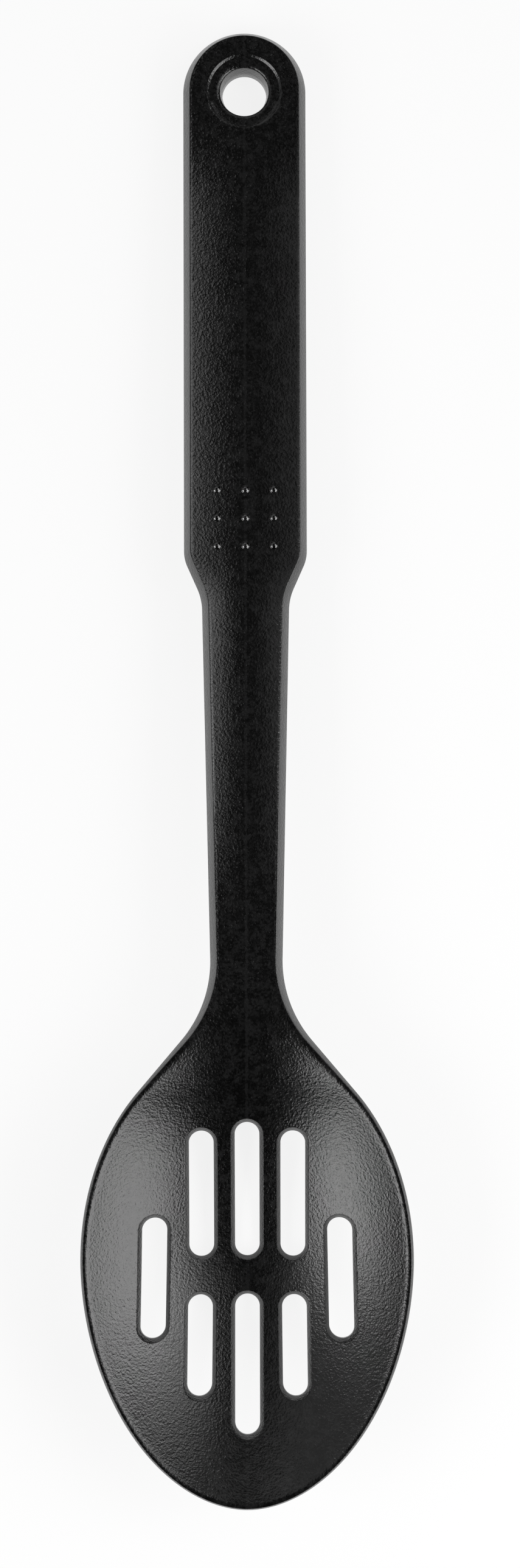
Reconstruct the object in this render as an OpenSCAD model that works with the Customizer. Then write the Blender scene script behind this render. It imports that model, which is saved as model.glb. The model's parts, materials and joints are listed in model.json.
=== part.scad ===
// Slotted serving spoon: one black nylon moulding, drawn as its natural zones.
// Millimetres. Each zone is first drawn lying level, with its front face at height 0,
// the middle of the bowl at y = 0 and the hanging end towards +Y. It is then laid down
// as a spoon lies on a table: on the belly of the bowl and the back of the hanging end.

/* [Grip] */
// Width of the grip across its parting line
grip_w = 26.4; // [23:0.1:32]
// Distance from the widest part of the bowl to the hanging end
handle_reach = 263; // [235:1:300]
// Thickness of the handle from its front face to its back
handle_t = 6.8; // [6:0.1:9]
// How far the side facet leans out from the front face to the parting line
facet_w = 1.45; // [0.8:0.05:2]
// Depth of the parting line below the front face
parting_drop = 3.8; // [3:0.1:4.2]
// How far the back draws in just below the parting line
under_in = 0.3; // [0.1:0.05:0.6]
// Height of that drawn-in strip
under_h = 1.1; // [0.6:0.1:1.4]
// Squareness of the rounded back edges, where 2 is a plain bulge
back_power = 10; // [4:1:16]

/* [Hanging hole] */
// Diameter of the straight stretch of the hole
hole_d = 9.5; // [7:0.1:10]
// Distance from the hanging end to the middle of the hole
hole_from_end = 13.5; // [12.5:0.1:16]
// Length of the straight stretch, measured from the back
hole_land = 3; // [2:0.1:4.5]
// Diameter where the drafted stretch meets the rounded mouth
mouth_d = 10.3; // [10:0.1:11]
// Width and depth of the rounded mouth
mouth_round = 0.65; // [0.3:0.05:1]
// Diameter of the shallow ring round the mouth
ring_d = 16.1; // [14:0.1:18]
// Depth of the shallow ring
ring_depth = 0.35; // [0.2:0.05:0.8]
// Width of the sloped step at the edge of the ring
ring_step = 0.25; // [0.1:0.05:0.5]

/* [Thumb dots] */
// Diameter of a dot
dot_d = 1.7; // [1:0.1:2.4]
// Height of a dot
dot_h = 0.45; // [0.2:0.05:0.8]
// Spacing of the dots across the grip
dot_pitch_x = 6.1; // [4:0.1:8]
// Spacing of the rows along the grip
dot_pitch_y = 6; // [4:0.1:8]
// Distance from the shoulder to the edge of the nearest row
dot_margin = 0.1; // [0.1:0.1:20]
// Number of dots each way
dot_rows = 3; // [1:1:4]

/* [Shoulder and shank] */
// Length of the straight grip from the end's middle to the shoulder
grip_straight = 98.95; // [70:0.05:120]
// Radius where the shoulder leaves the grip
shoulder_out_r = 8.2; // [4:0.1:12]
// Radius where the shoulder meets the shank
shoulder_in_r = 12; // [6:0.1:18]
// Lean of the shoulder from the spoon's axis, in degrees
shoulder_angle = 24; // [15:1:40]
// Width of the shank below the shoulder
shank_top_w = 18.8; // [15:0.1:21]
// Width of the shank above the flare
shank_low_w = 15.1; // [12:0.1:18]

/* [Bowl] */
// Width of the bowl across its parting line
bowl_w = 70.7; // [60:0.1:80]
// Length of the round upper part of the bowl, above its widest place
bowl_up = 47; // [42:0.1:54]
// Length of the lower part of the bowl, from its widest place to the tip
bowl_low = 52.5; // [45:0.1:60]
// Fullness of the lower outline, where 2 is an ellipse
tip_power = 1.92; // [1.7:0.01:2.3]
// Lean of the flare from the spoon's axis, in degrees
flare_angle = 40.4; // [34:0.1:46]
// Radius between the shank and the flare
flare_r = 25.9; // [15:0.1:32]
// Depth of the dish below the rim
bowl_depth = 15.5; // [10:0.1:20]
// Thickness of the wall at the belly
bowl_wall = 2.2; // [1.6:0.1:3]
// Width of the flat top of the rim
rim_top = 0.8; // [0.4:0.05:1.4]
// How far the rim's outer facet leans out
rim_facet = 0.5; // [0.3:0.05:1]
// Depth of the parting line below the top of the rim
rim_drop = 1.3; // [0.8:0.1:2]
// Length over which the handle's facet narrows to the rim's
rim_fade = 33.7; // [20:0.1:45]
// Length over which the handle's thickness thins to the bowl's wall
wall_fade = 46; // [30:0.1:60]

/* [Slots] */
// Clear width of a slot
slot_w = 5.3; // [4.5:0.1:6.5]
// Spacing of the upper three slots
upper_pitch = 9.85; // [8.5:0.05:11]
// Length of the upper side slots
upper_len = 27.3; // [20:0.1:28]
// How much further the upper middle slot reaches towards the handle
upper_extra = 1.8; // [0:0.1:4]
// Spacing of the lower three slots
lower_pitch = 10.2; // [8.5:0.05:11]
// Length of the lower side slots
lower_len = 21; // [14:0.1:24]
// Lean of the lower side slots, outwards at the tip's end, in degrees
lower_splay = 0.45; // [0:0.05:3]
// How much further the lower middle slot reaches towards the tip
lower_extra = 7.9; // [0:0.1:9]
// Distance of the outer slots from the spoon's axis
outer_pitch = 20.05; // [18:0.05:22]
// Length of the outer slots
outer_len = 25.5; // [16:0.1:28]
// Lean of the outer slots, outwards at the tip's end, in degrees
outer_splay = 0.9; // [0:0.05:3]
// Width of the bridge between the upper and the lower slots
bridge_w = 8.2; // [5:0.1:12]
// Distance of the bridge from the widest part of the bowl, towards the tip
bridge_low = 4.7; // [0:0.1:8]

/* [Hidden] */
$fn = 64;
overrun = 1;
nylon = [0.11, 0.11, 0.12];

// Facets: columns across half the front and half the back, and points along each stretch
half_steps = 8;
shoulder_steps = 5;
flare_steps = 10;
upper_steps = 13;
tip_steps = 18;
slot_facets = 32;

function mix(a, b, share) = a + (b - a) * share;
function ease(share) = let (s = min(1, max(0, share))) s * s * (3 - 2 * s);

// Outline points are [half width, y, angle of the outward normal]
grip_half = grip_w / 2;
end_y = handle_reach - grip_half;
shoulder_y = end_y - grip_straight;
hole_y = handle_reach - hole_from_end;

// Shoulder: where its slope would meet the shank's edge without the fillet
shank_top = shank_top_w / 2;
shoulder_corner_y = shoulder_y - shoulder_out_r * tan(shoulder_angle / 2)
    - (grip_half - shank_top) / tan(shoulder_angle);

// Flare: its straight stretch touches the upper ellipse at touch, and would meet the shank at corner
bowl_half = bowl_w / 2;
touch_angle = atan(tan(flare_angle) * bowl_up / bowl_half);
touch = [bowl_half * cos(touch_angle), bowl_up * sin(touch_angle)];
shank_low = shank_low_w / 2;
corner_y = touch[1] + (touch[0] - shank_low) / tan(flare_angle);
shank_lean = atan((shank_top - shank_low) / (shoulder_corner_y - corner_y));

// Shoulder's concave fillet
shoulder_run = shoulder_in_r * tan((shoulder_angle - shank_lean) / 2);
shoulder_fillet = [
    shank_top - shoulder_run * sin(shank_lean) + shoulder_in_r * cos(shank_lean),
    shoulder_corner_y - shoulder_run * cos(shank_lean) - shoulder_in_r * sin(shank_lean)
];

// Flare's concave fillet, and the level where it starts
flare_run = flare_r * tan((flare_angle + shank_lean) / 2);
neck = [shank_low + flare_run * sin(shank_lean), corner_y + flare_run * cos(shank_lean)];
flare_fillet = [neck[0] + flare_r * cos(shank_lean), neck[1] - flare_r * sin(shank_lean)];

// Shank and bowl part on the straight taper, just above the flare
seam_rise = under_in;
seam = [neck[0] + seam_rise * tan(shank_lean), neck[1] + seam_rise];

shoulder_path = concat(
    [for (k = [0:shoulder_steps]) let (a = shoulder_angle * k / shoulder_steps)
        [grip_half - shoulder_out_r * (1 - cos(a)), shoulder_y - shoulder_out_r * sin(a), 0]],
    [for (k = [0:shoulder_steps]) let (a = mix(shoulder_angle, shank_lean, k / shoulder_steps))
        [shoulder_fillet[0] - shoulder_in_r * cos(a), shoulder_fillet[1] + shoulder_in_r * sin(a), 0]],
    [[seam[0], seam[1], 0]]
);

upper_path = [for (k = [0:upper_steps]) let (b = touch_angle * (1 - k / upper_steps))
    [bowl_half * cos(b), bowl_up * sin(b), atan2(bowl_half * sin(b), bowl_up * cos(b))]];

tip_path = [for (k = [1:tip_steps]) let (
        b = 90 * k / tip_steps,
        c = max(0, cos(b)),
        s = sin(b),
        lean = 2 - 2 / tip_power
    )
    [bowl_half * pow(c, 2 / tip_power), -bowl_low * pow(s, 2 / tip_power),
        atan2(-pow(s, lean) / bowl_low, pow(c, lean) / bowl_half)]];

bowl_path = concat(
    [[seam[0], seam[1], 0]],
    [for (k = [0:flare_steps]) let (a = mix(-shank_lean, flare_angle, k / flare_steps))
        [flare_fillet[0] - flare_r * cos(a), flare_fillet[1] - flare_r * sin(a), a]],
    upper_path,
    tip_path
);

// How deep the dish is at a half width, as a share of its full depth
function dish_share(half, y, full_half, neck_half) =
    y >= neck[1] ? 0 : let (start = y > 0 ? neck_half : 0)
        max(0, (half * half - start * start) / (full_half * full_half - start * start));

function rim_fade_at(y) = ease((neck[1] - y) / rim_fade);
function wall_fade_at(y) = ease((neck[1] - y) / wall_fade);
function facet_at(y) = mix(facet_w, rim_facet, rim_fade_at(y));
function drop_at(y) = mix(parting_drop, rim_drop, rim_fade_at(y));
function back_edge_at(y) = -(drop_at(y) + under_h);

// Depth of the dish and height of the back, both on the spoon's axis
function dish_at(half, y) = bowl_depth
    * dish_share(half, y, bowl_half - rim_facet - rim_top, neck[0] - facet_w - rim_top);
function back_mid_at(half, y) = -bowl_depth
    * dish_share(half, y, bowl_half - under_in, neck[0] - under_in)
    - mix(handle_t, bowl_wall, wall_fade_at(y));
function back_power_at(y) = mix(back_power, 2, wall_fade_at(y));

// Height of the back at a share of its half width
function back_at(share, half, y) = mix(back_edge_at(y), back_mid_at(half, y),
    1 - pow(abs(share), back_power_at(y)));

// A point of the outline moved inwards by a distance
function inset(p, d) = [p[0] - d * cos(p[2]), p[1] - d * sin(p[2])];

// One loop of points round the moulding: front, right edge, back, left edge
function loop_at(p) = let (
        facet = inset(p, facet_at(p[1])),
        inner = inset(p, facet_at(p[1]) + rim_top),
        under = inset(p, under_in),
        dish = dish_at(inner[0], inner[1]),
        drop = drop_at(p[1])
    )
    concat(
        [for (k = [-half_steps:half_steps]) let (u = k / half_steps)
            [u * inner[0], inner[1], -dish * (1 - u * u)]],
        [[facet[0], facet[1], 0], [p[0], p[1], -drop]],
        [for (k = [-half_steps:half_steps]) let (u = -sin(90 * k / half_steps))
            [u * under[0], under[1], back_at(u, under[0], under[1])]],
        [[-p[0], p[1], -drop], [-facet[0], facet[1], 0]]
    );

row_count = 2 * half_steps + 1;
loop_count = 2 * row_count + 4;

// At the tip each stretch of a loop closes to one point on the axis
function tip_group(j) = j < row_count ? 0
    : j == row_count || j == loop_count - 1 ? 1
    : j == row_count + 1 || j == loop_count - 2 ? 2
    : 3;
function tip_points(p) = let (
        facet = inset(p, facet_at(p[1])),
        inner = inset(p, facet_at(p[1]) + rim_top),
        under = inset(p, under_in)
    )
    [[0, inner[1], 0], [0, facet[1], 0], [0, p[1], -drop_at(p[1])], [0, under[1], back_edge_at(p[1])]];

// The handle's half section, from the front's middle down to the back's
half_section = concat(
    [[0, 0], [grip_half - facet_w, 0], [grip_half, -parting_drop]],
    [for (k = [0:half_steps]) let (u = cos(90 * k / half_steps))
        [u * (grip_half - under_in), back_at(u, grip_half, shoulder_y)]]
);
full_section = concat(half_section, [for (k = [len(half_section) - 2:-1:1]) [-half_section[k][0], half_section[k][1]]]);

// How the spoon lies: on the belly and on the back edge of the hanging end
belly = [for (p = bowl_path) let (under = inset(p, under_in)) [under[1], back_mid_at(under[0], under[1])]];
heel = [for (k = [2:len(half_section) - 1]) [end_y + half_section[k][0], half_section[k][1]]];
rest_slope = min([for (e = heel) max([for (b = belly) (e[1] - b[1]) / (e[0] - b[0])])]);
rest_tilt = atan(rest_slope);
function rested_y(q) = q[0] * cos(rest_tilt) + q[1] * sin(rest_tilt);
function rested_z(q) = q[1] * cos(rest_tilt) - q[0] * sin(rest_tilt);
rest_lift = -min([for (q = concat(heel, belly)) rested_z(q)]);
tip_edge = [for (q = tip_points(bowl_path[len(bowl_path) - 1])) [q[1], q[2]]];
end_edge = [for (q = half_section) [end_y + q[0], q[1]]];
rest_mid = (max([for (q = end_edge) rested_y(q)]) + min([for (q = tip_edge) rested_y(q)])) / 2;

module rested() {
    translate([0, -rest_mid, rest_lift])
        rotate([-rest_tilt, 0, 0])
            children();
}

// A flat end, as quads that join the front row to the back row
end_faces = concat(
    [for (j = [0:row_count - 2]) [j, j + 1, loop_count - j - 4, loop_count - j - 3]],
    [
        [row_count - 1, row_count, row_count + 1, row_count + 2],
        [0, loop_count - 3, loop_count - 2, loop_count - 1]
    ]
);

// A solid through the loops of a path, with a flat face at each open end
module lofted(path, closed_tip = false) {
    last = len(path) - 1;
    whole = closed_tip ? last - 1 : last;
    points = concat(
        [for (i = [0:whole]) each loop_at(path[i])],
        closed_tip ? tip_points(path[last]) : []
    );
    function at(i, j) = i <= whole ? i * loop_count + j % loop_count
        : (whole + 1) * loop_count + tip_group(j % loop_count);
    sides = [for (i = [0:last - 1], j = [0:loop_count - 1])
        each [
            [at(i, j), at(i, j + 1), at(i + 1, j + 1)],
            [at(i, j), at(i + 1, j + 1), at(i + 1, j)]
        ]
    ];
    real = [for (f = sides) if (f[0] != f[1] && f[1] != f[2] && f[0] != f[2]) f];
    start = [for (f = end_faces) [for (k = [3:-1:0]) at(0, f[k])]];
    finish = closed_tip ? [] : [for (f = end_faces) [for (j = f) at(last, j)]];
    polyhedron(points = points, faces = concat(real, start, finish), convexity = 10);
}

// Everything that the hanging hole takes out of the grip, as one turned shape
module hole_cut() {
    hole_r = hole_d / 2;
    mouth_r = mouth_d / 2;
    ring_r = ring_d / 2;
    rotate_extrude()
        polygon([
            [0, -handle_t - overrun],
            [hole_r, -handle_t - overrun],
            [hole_r, hole_land - handle_t],
            [mouth_r, -ring_depth - mouth_round],
            [mouth_r + mouth_round, -ring_depth],
            [ring_r - ring_step, -ring_depth],
            [ring_r, 0],
            [ring_r, overrun],
            [0, overrun]
        ]);
}

module grip() {
    color(nylon)
        rested()
            difference() {
                union() {
                    translate([0, end_y, 0])
                        rotate([90, 0, 0])
                            linear_extrude(height = grip_straight)
                                polygon(full_section);
                    translate([0, end_y, 0])
                        rotate_extrude(angle = 180)
                            polygon(half_section);
                }
                translate([0, hole_y, 0])
                    hole_cut();
            }
}

module thumb_dots() {
    dot_r = dot_d / 2;
    ball_r = (dot_r * dot_r + dot_h * dot_h) / (2 * dot_h);
    color(nylon)
        rested()
            for (column = [0:dot_rows - 1], row = [0:dot_rows - 1])
                translate([
                    (column - (dot_rows - 1) / 2) * dot_pitch_x,
                    shoulder_y + dot_margin + dot_r + row * dot_pitch_y,
                    0
                ])
                    intersection() {
                        translate([0, 0, dot_h - ball_r])
                            sphere(r = ball_r);
                        cylinder(h = ball_r, r = ball_r);
                    }
}

module shank() {
    color(nylon)
        rested()
            lofted(shoulder_path);
}

// A round-ended slot at a distance from the axis, between two levels, turned about its middle
module slot_cut(x, low, high, splay = 0) {
    slot_r = slot_w / 2;
    reach = (high - low) / 2 - slot_r;
    translate([x, (low + high) / 2, -bowl_depth - bowl_wall - overrun])
        rotate([0, 0, splay])
            hull()
                for (end = [-reach, reach])
                    translate([0, end, 0])
                        cylinder(h = bowl_depth + bowl_wall + 2 * overrun, r = slot_r, $fn = slot_facets);
}

module bowl() {
    upper_start = bridge_w / 2 - bridge_low;
    lower_start = -bridge_w / 2 - bridge_low;
    color(nylon)
        rested()
            difference() {
                lofted(bowl_path, closed_tip = true);
                for (side = [-1:1]) {
                    middle = 1 - abs(side);
                    slot_cut(side * upper_pitch, upper_start, upper_start + upper_len + middle * upper_extra);
                    slot_cut(side * lower_pitch, lower_start - lower_len - middle * lower_extra, lower_start,
                        side * lower_splay);
                }
                for (side = [-1, 1])
                    slot_cut(side * outer_pitch, -bridge_low - outer_len / 2, -bridge_low + outer_len / 2,
                        side * outer_splay);
            }
}

grip();
thumb_dots();
shank();
bowl();
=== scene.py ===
"""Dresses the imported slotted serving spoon: one black nylon moulding on a white studio table.

Every zone of the moulding starts as a flat plate with its outline and openings cut in it. The plate is then
settled onto the moulding's true surfaces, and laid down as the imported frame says. Sizes are in millimetres in
the level frame: front face at height 0, the widest part of the bowl at y = 0 and the hanging end towards +Y.
"""

import json
import logging
import math
from collections.abc import Callable
from dataclasses import dataclass, field
from enum import Enum

import bpy
import numpy as np
from mathutils import Matrix, Vector


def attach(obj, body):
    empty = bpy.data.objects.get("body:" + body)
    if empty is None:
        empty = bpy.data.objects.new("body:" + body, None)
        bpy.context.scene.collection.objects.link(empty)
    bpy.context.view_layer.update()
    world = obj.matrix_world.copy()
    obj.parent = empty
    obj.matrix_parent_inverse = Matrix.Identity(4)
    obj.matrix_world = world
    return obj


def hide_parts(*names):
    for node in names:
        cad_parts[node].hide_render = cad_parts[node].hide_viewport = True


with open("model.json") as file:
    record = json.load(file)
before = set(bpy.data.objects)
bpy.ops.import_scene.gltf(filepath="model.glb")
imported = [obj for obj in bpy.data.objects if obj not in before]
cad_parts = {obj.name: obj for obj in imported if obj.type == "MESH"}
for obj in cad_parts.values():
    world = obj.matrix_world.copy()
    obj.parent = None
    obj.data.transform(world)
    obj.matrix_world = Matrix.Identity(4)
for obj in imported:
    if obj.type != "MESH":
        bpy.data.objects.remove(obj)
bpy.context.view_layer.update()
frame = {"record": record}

LOG = logging.getLogger("spoon")
MM = 0.001
Number = float | np.ndarray

# A flat plate is cut into this many steps through its thickness, each this high
LEVELS = 16
LEVEL_H = 0.5

# The least length and the least squared length that anything is divided by
TINY = 1e-6
TINY_SQUARE = 1e-12

# The middle of a rounded edge lies in from the corner by this share of its radius
EDGE_MIDDLE = 0.3

# Blender's noise lies round this value
NOISE_MIDDLE = 0.5

# Numbers of the two inputs and the output of a Mix node that hold colours
MIX_A = 6
MIX_B = 7
MIX_RESULT = 2


class Side(Enum):
    """The two sides of the spoon's long axis."""

    LEFT = -1
    RIGHT = 1


class Axis(Enum):
    """Directions that a plate is cut across."""

    X = (1.0, 0.0, 0.0)
    Y = (0.0, 1.0, 0.0)
    Z = (0.0, 0.0, 1.0)


def mix(a: Number, b: Number, share: Number) -> Number:
    """Goes from a to b by a share."""
    return a + (b - a) * share


def ease(share: Number) -> Number:
    """Smooths a share so that it starts and ends gently."""
    s = np.clip(share, 0.0, 1.0)
    return s * s * (3 - 2 * s)


def corner(start: Number, middle: Number, end: Number, share: Number) -> Number:
    """Gives a point of a rounded corner, which leaves start towards middle and arrives at end."""
    return (1 - share) ** 2 * start + 2 * share * (1 - share) * middle + share**2 * end


# Shapes


@dataclass(frozen=True)
class HandleSizes:
    """Sizes of the grip, the shoulder and the shank.

    Attributes:
        grip_w: Width of the grip.
        reach: From the widest part of the bowl to the hanging end.
        thickness: Thickness of the handle.
        facet_w: How far the edge facet leans out.
        parting_drop: Depth of the parting line.
        under_in: How far the strip below the parting line draws in.
        under_h: Height of that strip.
        back_power: How square the edges of the back are, where 2 is a plain curve.
        straight: Length of the grip's straight sides.
        shoulder_out_r: Radius of the shoulder's outer bend.
        shoulder_in_r: Radius of its inner bend.
        shoulder_angle: Lean of the shoulder between the two bends.
        shank_top_w: Width of the shank at the shoulder.
        shank_low_w: Width of the shank at the flare.
        hollow: Depth of the hollow in the grip's front.
        hollow_low: Depth of the hollow at the neck.
        hollow_fade: Length over which the hollow ends.
    """

    grip_w: float = 26.4
    reach: float = 263.0
    thickness: float = 6.8
    facet_w: float = 1.45
    parting_drop: float = 3.8
    under_in: float = 0.3
    under_h: float = 1.1
    back_power: float = 10.0
    straight: float = 98.95
    shoulder_out_r: float = 8.2
    shoulder_in_r: float = 12.0
    shoulder_angle: float = math.radians(24)
    shank_top_w: float = 18.8
    shank_low_w: float = 15.1
    hollow: float = 1.3
    hollow_low: float = 0.37
    hollow_fade: float = 28.0

    @property
    def half(self) -> float:
        """Half the width of the grip."""
        return self.grip_w / 2

    @property
    def end_y(self) -> float:
        """Level of the middle of the round hanging end."""
        return self.reach - self.half

    @property
    def shoulder_y(self) -> float:
        """Level where the grip ends and the shoulder starts."""
        return self.end_y - self.straight


@dataclass(frozen=True)
class BowlSizes:
    """Sizes of the flare, the bowl and its rim.

    Attributes:
        width: Width of the bowl.
        up: Reach of the ellipse above the bowl's widest place.
        low: Reach of the curve below it, to the tip.
        tip_power: Fullness of that curve, where 2 is an ellipse.
        flare_angle: Lean of the flare's sides.
        flare_r: Radius of the bend from the shank to the flare.
        depth: Depth of the dish.
        wall: Thickness of the wall at the belly.
        back_power: How square the back is, where 2 is a plain curve.
        rim_top: Width of the rim's flat top.
        rim_facet: How far the rim's facet leans out.
        rim_drop: Depth of the parting line round the rim.
        rim_fade: Length over which the handle's edge turns into the rim's.
        wall_fade: Length over which the handle's thickness thins to the wall.
        rim_soft: Size of the rounding where the dish starts.
        rim_soft_share: Share of the full depth at which that rounding is whole.
    """

    width: float = 70.7
    up: float = 47.0
    low: float = 52.5
    tip_power: float = 1.92
    flare_angle: float = math.radians(40.4)
    flare_r: float = 25.9
    depth: float = 15.5
    wall: float = 2.2
    back_power: float = 2.0
    rim_top: float = 0.8
    rim_facet: float = 0.5
    rim_drop: float = 1.3
    rim_fade: float = 33.7
    wall_fade: float = 46.0
    rim_soft: float = 0.35
    rim_soft_share: float = 0.25

    @property
    def half(self) -> float:
        """Half the width of the bowl."""
        return self.width / 2


class Outline:
    """The moulding's outline at its parting line, down the right side from the hanging end to the tip.

    Attributes:
        points: Plan points, one row each.
        normals: The outward direction at each point.
        neck: The point where the flare starts.
        seam_y: Level of the plane between the shank and the bowl.
    """

    # How many chords each curve and each straight stretch is made of
    END_STEPS = 72
    SHOULDER_STEPS = 16
    FLARE_STEPS = 40
    UPPER_STEPS = 64
    TIP_STEPS = 120
    STRAIGHT_STEPS = 20

    # Two curves whose ends are nearer than this have no straight stretch between them
    LEAST_STRAIGHT = 1.0

    def __init__(self, handle: HandleSizes, bowl: BowlSizes) -> None:
        """Works the outline out.

        Args:
            handle: Sizes of the handle.
            bowl: Sizes of the bowl.
        """
        top, low = handle.shank_top_w / 2, handle.shank_low_w / 2
        angle = handle.shoulder_angle
        shoulder_corner = (handle.shoulder_y - handle.shoulder_out_r * math.tan(angle / 2)
                           - (handle.half - top) / math.tan(angle))
        touch_at = math.atan(math.tan(bowl.flare_angle) * bowl.up / bowl.half)
        touch = np.array([bowl.half * math.cos(touch_at), bowl.up * math.sin(touch_at)])
        flare_corner = touch[1] + (touch[0] - low) / math.tan(bowl.flare_angle)
        lean = math.atan((top - low) / (shoulder_corner - flare_corner))
        shoulder_run = handle.shoulder_in_r * math.tan((angle - lean) / 2)
        shoulder_middle = (
            top - shoulder_run * math.sin(lean) + handle.shoulder_in_r * math.cos(lean),
            shoulder_corner - shoulder_run * math.cos(lean) - handle.shoulder_in_r * math.sin(lean),
        )
        flare_run = bowl.flare_r * math.tan((bowl.flare_angle + lean) / 2)
        self.neck = (low + flare_run * math.sin(lean), flare_corner + flare_run * math.cos(lean))
        self.seam_y = self.neck[1] + handle.under_in
        flare_middle = (
            self.neck[0] + bowl.flare_r * math.cos(lean),
            self.neck[1] - bowl.flare_r * math.sin(lean),
        )
        pieces = [
            self._arc((0, handle.end_y), handle.half, math.pi / 2, 0, self.END_STEPS),
            self._arc((handle.half - handle.shoulder_out_r, handle.shoulder_y), handle.shoulder_out_r,
                      0, -angle, self.SHOULDER_STEPS),
            self._arc(shoulder_middle, -handle.shoulder_in_r, -angle, -lean, self.SHOULDER_STEPS),
            self._arc(flare_middle, -bowl.flare_r, -lean, bowl.flare_angle, self.FLARE_STEPS),
            self._upper(bowl, touch_at),
            self._tip(bowl),
        ]
        joined = [pieces[0]]
        for piece in pieces[1:]:
            joined += [self._straight(joined[-1], piece), piece]
        self.points = np.vstack([p for p, _ in joined])
        self.normals = np.vstack([n for _, n in joined])

    def _straight(self, before: tuple, after: tuple) -> tuple:
        """Finds the straight stretch between two curves.

        Args:
            before: Points and outward directions of the curve before it.
            after: Points and outward directions of the curve after it.

        Returns:
            The points between the curves and their outward directions, or none where the curves touch.
        """
        start, end = before[0][-1], after[0][0]
        if np.linalg.norm(end - start) < self.LEAST_STRAIGHT:
            return np.empty((0, 2)), np.empty((0, 2))
        shares = np.linspace(0, 1, self.STRAIGHT_STEPS + 1)[1:-1, None]
        return mix(start, end, shares), mix(before[1][-1], after[1][0], shares)

    @staticmethod
    def _arc(middle: tuple, radius: float, start: float, end: float, steps: int) -> tuple:
        """Finds an arc.

        Args:
            middle: Plan point of its middle.
            radius: Its radius, which is negative for a hollow arc.
            start: Angle of its first point.
            end: Angle of its last point.
            steps: How many chords it is made of.

        Returns:
            Its points and their outward directions.
        """
        a = np.linspace(start, end, steps + 1)
        normals = np.stack([np.cos(a), np.sin(a)], 1)
        return np.array(middle) + radius * normals, normals

    def _upper(self, bowl: BowlSizes, touch_at: float) -> tuple:
        """Finds the ellipse from the flare to the bowl's widest place.

        Args:
            bowl: Sizes of the bowl.
            touch_at: Angle on the ellipse at which the flare touches it.

        Returns:
            Its points and their outward directions.
        """
        b = np.linspace(touch_at, 0, self.UPPER_STEPS + 1)
        normals = np.stack([bowl.up * np.cos(b), bowl.half * np.sin(b)], 1)
        points = np.stack([bowl.half * np.cos(b), bowl.up * np.sin(b)], 1)
        return points, normals / np.linalg.norm(normals, axis=1, keepdims=True)

    def _tip(self, bowl: BowlSizes) -> tuple:
        """Finds the fuller curve from the bowl's widest place to its tip.

        Args:
            bowl: Sizes of the bowl.

        Returns:
            Its points and their outward directions.
        """
        b = np.linspace(0, math.pi / 2, self.TIP_STEPS + 1)[1:]
        c, s = np.clip(np.cos(b), 0, 1), np.sin(b)
        power = 2 / bowl.tip_power
        points = np.stack([bowl.half * c**power, -bowl.low * s**power], 1)
        normals = np.stack([c ** (2 - power) / bowl.half, -(s ** (2 - power)) / bowl.low], 1)
        return points, normals / np.linalg.norm(normals, axis=1, keepdims=True)


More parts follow.
